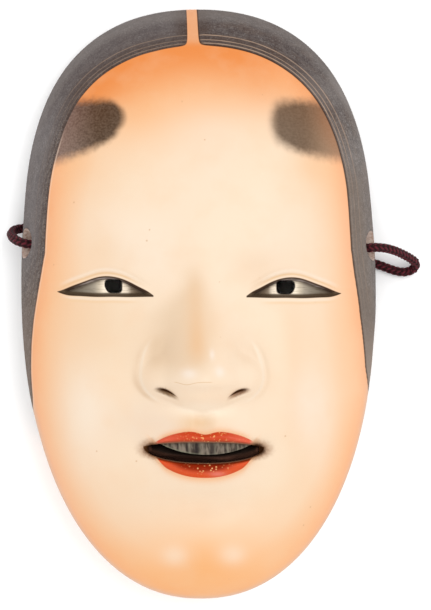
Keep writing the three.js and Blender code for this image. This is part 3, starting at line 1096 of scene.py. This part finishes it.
def teeth_paint(finish, u, v):
    """Blackened teeth, brushed downwards, lighter at their lower rim and warm under the lip."""
    brushed = finish.strokes(u, v, 0.9, 0.22)
    teeth = finish.over((84, 75, 68), (154, 141, 126), rising(brushed, 0.34, 0.32))
    for gap, wide, dark in TOOTH_GAPS:
        teeth = teeth.coat((164, 158, 138), bell((u - gap - wide - 0.2) / 0.3) * 0.45)
        teeth = teeth.coat((60, 54, 54), bell((u - gap) / wide) * dark)
    rim_light = falling(v - teeth_edge(u), 0.65, 0.4) * (0.2 + 0.45 * smooth(-u / 6))
    teeth = teeth.coat((150, 150, 126), rim_light * (0.5 + brushed))
    return teeth.coat((146, 108, 86), falling(gap_top(u) - v, 0.8, 0.7) * 0.8)


def smudge_corners(finish, colour, u, v):
    """Dark smudges past the corners of the mouth, each in a brown haze."""
    half = abs(u)
    cloudy = 0.82 + 0.36 * finish.noise(0.9, 4)
    stain = length_of(larger(half - 15.5, 0) / 4.6, (v + 52.8) / 2.3) * cloudy
    past_corner = larger(half - 16.6 - 0.9 * smooth(u), 0) / 4.3
    reach = length_of(past_corner, (v + 51.4) / (2.2 + 0.3 * rising(v, -51.4, 2))) * cloudy
    from_middle = rising(half, 15.5, 3)
    colour = colour.coat((128, 74, 42), falling(stain, 1.25, 0.8) * rising(half, 14, 3) * 0.6)
    colour = colour.coat((150, 98, 58), falling(reach, 1.95, 1.1) * from_middle * 0.7)
    return colour.coat((52, 33, 24), falling(reach, 1.3, 0.6) * from_middle * 0.96)


def paint_mouth(finish, colour, u, v):
    half = abs(u)
    above = v - lip_top(u)
    from_top = gap_bottom(u) - v
    lowest = lip_bottom(u) + 1.5 * rising(half, 13, 4.5)
    from_bottom = v - lowest
    colour = paint_round_lips(colour, u, v, above, lowest - v)
    upper, lower = lip_paints(finish, u, v, from_top, from_bottom)
    on_upper = past(v - gap_top(u)) * past(-above) * falling(half, 18.2, 2.4)
    on_lower = past(from_bottom) * past(from_top) * falling(half, 18.6, 3)
    in_gap = past(gap_top(u) - v) * past(v - gap_bottom(u)) * past(GAP_END - half, 0.5)
    on_teeth = past(v - teeth_edge(u)) * falling(from_teeth(u), 1, 0.03)
    colour = colour.coat(upper, on_upper)
    colour = colour.coat(lower, on_lower)
    in_mouth = finish.over((56, 37, 28), teeth_paint(finish, u, v), on_teeth)
    colour = colour.coat(in_mouth, in_gap)
    return smudge_corners(finish, colour, u, v)


# Light strands drawn in the hair beside the hairline: how far in, and how wide
STRANDS = ((0.95, 0.512), (2.25, 0.448), (4.15, 0.512))


def hair_paint(finish, v, hairline, hair, on_right):
    """Worn black, combed along the hairline, lighter where it catches the light."""
    combed = finish.joined(hairline * 1.5 + finish.z * 0.35, finish.x * 0.3, finish.y * 0.3)
    fine = finish.noise(1.0, 3, combed, 0.6)
    broad = finish.noise(0.3, 2, combed)
    grain = finish.noise(1.5, 3)
    black = finish.over((93, 86, 84), (126, 118, 114), rising(fine, 0.3, 0.4))
    black = black.coat((116, 96, 82), rising(broad, 0.42, 0.25) * (0.2 + 0.2 * on_right))
    black = black.coat((70, 63, 63), rising(grain, 0.5, 0.12) * 0.65)
    black = black.coat((172, 167, 165), rising(finish.noise(1.6, 2), 0.56, 0.1) * 0.42)
    # A painted sheen towards the outer edge of the hair on the left
    outer_left_sheen = smooth(hair / 4) * (1 - on_right) * rising(v, -5, 30)
    black = black.coat((138, 132, 132), outer_left_sheen * (0.5 - 0.2 * rising(v, 60, 20)))
    black = black.coat((82, 70, 68), rising(v, 56, 24) * 0.4)
    black = black.coat((80, 62, 52), falling(hair, 6.5, 4) * (0.22 + 0.18 * rising(v, 56, 20)))
    brown = on_right * falling(hair, 10, 6) * (1 - rising(v, 40, 16))
    black = black.coat((108, 84, 58), brown * 0.45)
    steep = falling(finish.z, 25, 6) * rising(v, 45, 35)
    lit = on_right * ((1 - rising(v, 50, 24)) * 0.3 + 0.25 * hump(v, 76, 7)) + steep * 0.25
    black = black.coat((168, 161, 157), lit)
    # Painted sheen, lighter towards the lower ends of the hair on both sides
    low = blend(falling(v, 22, 40) * 0.32, smooth(v / -30) * 0.55, on_right)
    black = black.coat((178, 160, 146), low)
    high = rising(v, 38, 34)
    drawn = on_right * (0.14 + 0.44 * high) + (1 - on_right) * (0.06 + 0.2 * rising(v, 60, 30))
    drawn = drawn * rising(v, -12, 24) * (0.4 + 1.2 * finish.noise(0.25, 1))
    for at, wide in STRANDS:
        black = black.coat((196, 166, 142), stroke(hairline - at, wide) * drawn)
    return black.coat((70, 48, 36), falling(hair, 0.65, 0.45) * (0.3 + 0.45 * on_right))


def paint_hair(finish, colour, u, v):
    hairline = finish.attribute("hairline")
    hair = hair_cover(hairline, u)
    on_right = past(u, 4)
    pale = hump(hair, -0.3, 0.2) * falling(v, 62, 8) * (1 - on_right)
    colour = colour.coat((252, 226, 204), pale * 0.4)
    return colour.coat(hair_paint(finish, v, hairline, hair, on_right), past(hair))


def make_face_paint():
    finish = Finish("face paint", Specular_IOR_Level=0.0, Coat_Roughness=0.3)
    u, v = on_face(finish.x, finish.y)
    colour = ground(finish, u, v)
    colour = paint_nose(finish, colour, u, v)
    colour = paint_brows(finish, colour, u, v)
    colour = paint_eyes(finish, colour, u, v)
    colour = paint_mouth(finish, colour, u, v)
    colour = paint_hair(finish, colour, u, v)
    finish.feed("Base Color", colour)
    finish.feed("Coat Weight", 0.04 + 0.24 * rising(finish.redness(colour), 0.12, 0.3))
    finish.feed("Roughness", 0.36 + 0.16 * finish.noise(0.2, 2))
    finish.bump(finish.noise(0.7, 4), 0.06, 0.5)
    return finish


def make_lacquer():
    finish = Finish("thin dark lacquer", Roughness=0.45)
    grain = finish.noise(1.0, 4, finish.stretched(1.2, 0.09, 1.2))
    finish.feed("Base Color", finish.over((62, 36, 24), (104, 66, 42), grain))
    return finish


def make_dark_wood():
    finish = Finish("dark cut wood", Roughness=0.8, Specular_IOR_Level=0.1)
    u, v = on_face(finish.x, finish.y)
    # Across the mouth the cut is painted lighter towards the lower lip's edge, where its slope
    # lies in shade, and darker further in, where light reaches it: painted light and shade
    inward = smooth((v - gap_bottom(u)) / 2.9) * falling(abs(u), 19, 1)
    colour = finish.over((144, 98, 80), (38, 31, 27), inward)
    finish.feed("Base Color", colour.coat((48, 39, 34), finish.noise(0.7) * 0.5))
    return finish


def make_bare_wood():
    finish = Finish("bare wood", Roughness=0.65)
    grain = finish.noise(1.0, 3, finish.stretched(0.5, 0.12, 1.6))
    colour = finish.over((214, 186, 168), (246, 224, 210), grain)
    colour = colour.coat((176, 134, 116), rising(finish.noise(0.8, 3), 0.4, 0.25) * 0.7)
    finish.feed("Base Color", colour)
    return finish


def make_braid():
    finish = Finish("braided silk", Roughness=0.75, Specular_IOR_Level=0.1, Sheen_Weight=0.04)
    # The silk's dark red, painted darker in the grooves between the strands and lighter on their
    # crowns: painted shade and light that follow the braid's bumps
    raised = finish.attribute("raised") + (finish.noise(1.1, 3) - 0.5) * 1.3
    colour = finish.over((42, 11, 16), (110, 45, 55), smooth(raised))
    glints = rising(finish.noise(2.6, 1), 0.6, 0.15)
    finish.feed("Base Color", colour.coat((150, 96, 100), glints * 0.3))
    return finish


# The cords

BRAID_PITCH = 1.9
BRAID_CORE = 0.93
BRAID_SWELL = 0.17
CORD_SIDES = 36
CORD_ROW = 0.17
ROUTE_STEPS = 12
KNOT_SIZE = 0.6
# A direction in which no stretch of cord runs
NEVER_ALONG = (0.15, 1, 0.1)
RIGHT_ROUTE = (
    (48, 17.8, 12.6), (50.2, 18.7, 17.2), (54.6, 19.2, 20.4), (60, 19.3, 21.2),
    (64.2, 19.5, 20.2), (68.2, 19.1, 17.6), (72, 18, 14), (75, 16.7, 10.5), (77.3, 15.5, 7.7),
    (78.9, 14.4, 5.4), (79.3, 13, 3.6), (78.4, 11.6, 2.4), (76.3, 10.8, 1.9), (73.8, 10.8, 1.8),
    (70.8, 11.6, 1.8), (67.6, 12.8, 1.8), (64, 14.1, 1.8), (60, 15.1, 1.8), (56, 15.7, 2.1),
    (52.4, 16, 3.6), (49.8, 16.3, 6), (48.5, 16.8, 8.8),
)
LEFT_ROUTE = (
    (-48, 23.5, 12.6), (-50.4, 22.7, 17), (-55, 21.9, 20), (-60.4, 21.8, 20.9),
    (-64, 22.6, 19.6), (-66.1, 23.7, 16.8), (-67.3, 24.8, 13), (-67.6, 25.8, 9.3),
    (-67.1, 26.8, 6.1), (-65.8, 27.5, 3.8), (-63.6, 27.9, 2.3), (-60.6, 27.9, 1.8),
    (-57, 27.5, 1.9), (-53.4, 26.8, 2.9), (-50.4, 25.8, 5.2), (-48.7, 24.7, 8.4),
)


def rows_at(wanted, travelled, rows):
    """The points of a line at the wanted distances along it."""
    return np.stack([np.interp(wanted, travelled, column) for column in rows.T], 1)


def unit(rows):
    return rows / np.linalg.norm(rows, axis=1, keepdims=True)


def rounded_route(route):
    """A smooth curve through a route's points, evenly spaced along it."""
    points = np.array(route, float)
    ends = [2 * points[0] - points[1], *points, 2 * points[-1] - points[-2]]
    rows = []
    for before, start, end, after in zip(ends, ends[1:], ends[2:], ends[3:]):
        for t in np.linspace(0, 1, ROUTE_STEPS, endpoint=False):
            turn = (end - before) * t + (2 * before - 5 * start + 4 * end - after) * t * t
            turn = turn + (3 * start - before - 3 * end + after) * t**3
            rows.append(start + turn / 2)
    rows.append(points[-1])
    rows = np.array(rows)
    travelled = np.concatenate([[0], np.cumsum(np.linalg.norm(np.diff(rows, axis=0), axis=1))])
    even = np.linspace(0, travelled[-1], len(rows))
    return rows_at(even, travelled, rows), travelled[-1]


def braid_swell(turn, travelled):
    """Strands of a round braid: six columns of slanting bumps, which make chevrons in pairs."""
    column = turn * 3 / math.pi
    nearest = np.round(column)
    beside = column - nearest
    lean = np.where(nearest % 2 == 0, 0.9, -0.9)
    row = travelled / BRAID_PITCH + lean * beside
    return np.sin(math.pi * row) ** 2 * np.cos(math.pi * beside) ** 0.7


def make_cord(name, line, total, braid):
    """A braided cord with rounded ends along a line of evenly spaced points."""
    net = bmesh.new()
    sizes = {"u_segments": CORD_SIDES, "v_segments": int(total / CORD_ROW)}
    bmesh.ops.create_uvsphere(net, radius=1, **sizes)
    ball = np.array([vert.co for vert in net.verts])
    step = np.arccos(np.clip(ball[:, 2], -1, 1)) / math.pi
    turn = np.arctan2(ball[:, 1], ball[:, 0])
    travelled = step * total
    even = np.linspace(0, total, len(line))
    middle = rows_at(travelled, even, line)
    ahead = rows_at(travelled, even, unit(np.gradient(line, axis=0)))
    across = unit(np.cross(ahead, NEVER_ALONG))
    above = np.cross(across, ahead)
    to_end = np.minimum(travelled, total - travelled) / (CORD_DIAMETER / 2)
    rounding = np.sqrt(np.maximum(1 - (1 - np.minimum(to_end, 1)) ** 2, 0))
    raised = braid_swell(turn, travelled)
    radius = CORD_DIAMETER / 2 * (BRAID_CORE + BRAID_SWELL * raised) * rounding
    turned = across * np.cos(turn)[:, None] + above * np.sin(turn)[:, None]
    for vert, point in zip(net.verts, middle + radius[:, None] * turned):
        vert.co = point
    bmesh.ops.recalc_face_normals(net, faces=net.faces)
    piece = mesh_object(name, net, [braid.material])
    set_attribute(piece.data, "raised", raised)
    return piece


def make_knot(name, at, braid):
    """The knot in which both ends of a loop meet, inside the hollow."""
    turns = np.linspace(0, 2 * math.pi, 160)
    x = np.sin(turns) + 2 * np.sin(2 * turns)
    y = np.cos(turns) - 2 * np.cos(2 * turns)
    z = -1.4 * np.sin(3 * turns)
    line = np.array(at) + KNOT_SIZE * np.stack([x, y, z], 1)
    total = np.linalg.norm(np.diff(line, axis=0), axis=1).sum()
    return make_cord(name, line, total, braid)


def to_metres(piece):
    piece.data.transform(Matrix.Scale(MM, 4))
    return piece


# The stage


CAMERA_PLACE = (-20, -0.69, 1418)
CAMERA_TARGET = (5.98, -0.69, 18)
CAMERA_LENS = 152.73
CROWN_LEAN = -0.55
KEY_PLACE = (0.5, 0.35, 1.7)
KEY_SIZE = 0.9
KEY_POWER = 7
ROOM_LIGHT = 1.4
FLOOR_REACH = 3000


def aim_camera():
    """Far off above the face, with the crown leaning a little to the left."""
    lean = math.radians(CROWN_LEAN)
    place, target = Vector(CAMERA_PLACE), Vector(CAMERA_TARGET)
    back = (place - target).normalized()
    right = Vector((-math.sin(lean), math.cos(lean), 0)).cross(back).normalized()
    up = back.cross(right)
    data = bpy.data.cameras.new("camera")
    data.sensor_fit = "VERTICAL"
    data.sensor_height = 24
    data.lens = CAMERA_LENS
    data.clip_end = 10
    camera = bpy.data.objects.new("camera", data)
    bpy.context.collection.objects.link(camera)
    turned = Matrix((right, up, back)).transposed().to_4x4()
    camera.matrix_world = Matrix.Translation(place * MM) @ turned
    bpy.context.scene.camera = camera


def hang_light():
    data = bpy.data.lights.new("key", "AREA")
    data.shape = "DISK"
    data.size = KEY_SIZE
    data.energy = KEY_POWER
    light = bpy.data.objects.new("key", data)
    light.location = KEY_PLACE
    light.rotation_euler = Vector(KEY_PLACE).to_track_quat("Z", "Y").to_euler()
    bpy.context.collection.objects.link(light)


def make_floor():
    finish = Finish("pale floor", Roughness=0.9)
    pale, paler = (0.93, 0.93, 0.93, 1), (0.96, 0.96, 0.96, 1)
    finish.feed("Base Color", finish.over(pale, paler, finish.noise(0.02)))
    net = bmesh.new()
    bmesh.ops.create_grid(net, size=FLOOR_REACH)
    floor = to_metres(mesh_object("floor", net, [finish.material]))


def light_scene():
    world = bpy.data.worlds.new("studio")
    bpy.context.scene.world = world
    world.use_nodes = True
    background = world.node_tree.nodes["Background"]
    background.inputs["Color"].default_value = (1, 1, 1, 1)
    background.inputs["Strength"].default_value = ROOM_LIGHT
    hang_light()
    bpy.context.scene.view_settings.view_transform = "Standard"


aim_camera()

braid = make_braid()
for side, name, route in ((1, "right", RIGHT_ROUTE), (-1, "left", LEFT_ROUTE)):
    line, total = rounded_route(route)
    cord = to_metres(make_cord(name + "_loop", line, total, braid))
    knot = to_metres(make_knot(name + "_knot", route[0], braid))
    for piece in (cord, knot):
        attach(piece, "root")
    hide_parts(name + "_cord")

mask = make_mask([make_face_paint(), make_lacquer(), make_dark_wood(), make_bare_wood()])
to_metres(mask)
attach(mask, "root")
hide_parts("mask")

make_floor()
light_scene()
